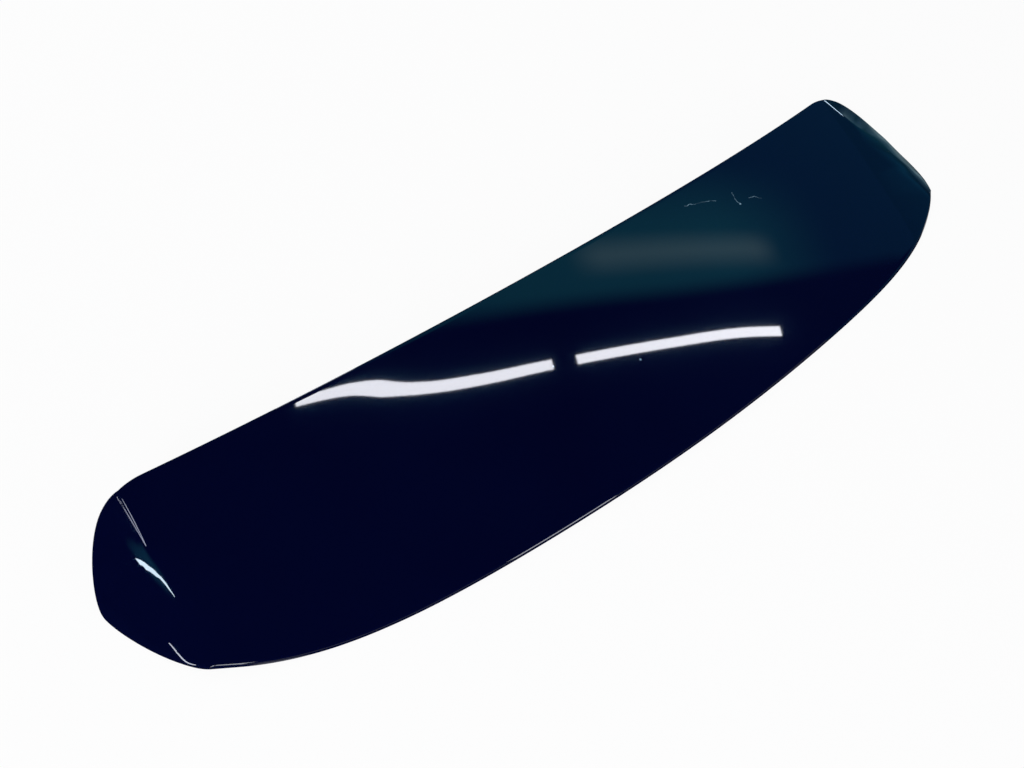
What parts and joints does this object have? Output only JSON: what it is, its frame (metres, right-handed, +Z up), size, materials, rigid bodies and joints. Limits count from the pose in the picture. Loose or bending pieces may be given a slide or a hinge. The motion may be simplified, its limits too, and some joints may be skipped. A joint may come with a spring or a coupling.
{
  "type": "rear roof spoiler",
  "caption": "Glossy painted roof spoiler with turned-down cheeks, bonded to a ribbed inner carrier with threaded studs, pins, clips, seals and buffers for a tailgate.",
  "frame": {"origin": "centre of the bounding box in plan, on the surface that the lower rim rests on", "axes": "+X along the span, +Y towards the leading edge that meets the roof, +Z up through the painted side"},
  "size_m": [1.1994, 0.291, 0.0805],
  "materials": {
    "paint": "glossy deep navy clear coat over moulded plastic",
    "carrier": "fine grained black moulding",
    "zinc": "bright zinc plated steel",
    "spring_steel": "phosphated spring steel",
    "foam": "closed cell foam",
    "rubber": "matt moulded rubber"
  },
  "bodies": {
    "root": {"outer_skin": "paint", "inner_carrier": "carrier", "mounting_studs": "zinc", "stud_retainers": "spring_steel", "stud_gaskets": "foam", "side_clip_left": "spring_steel", "side_clip_right": "spring_steel", "front_seal": "foam", "cheek_pad_left": "foam", "cheek_pad_right": "foam", "buffer_left": "rubber", "buffer_right": "rubber"}
  },
  "joints": []
}
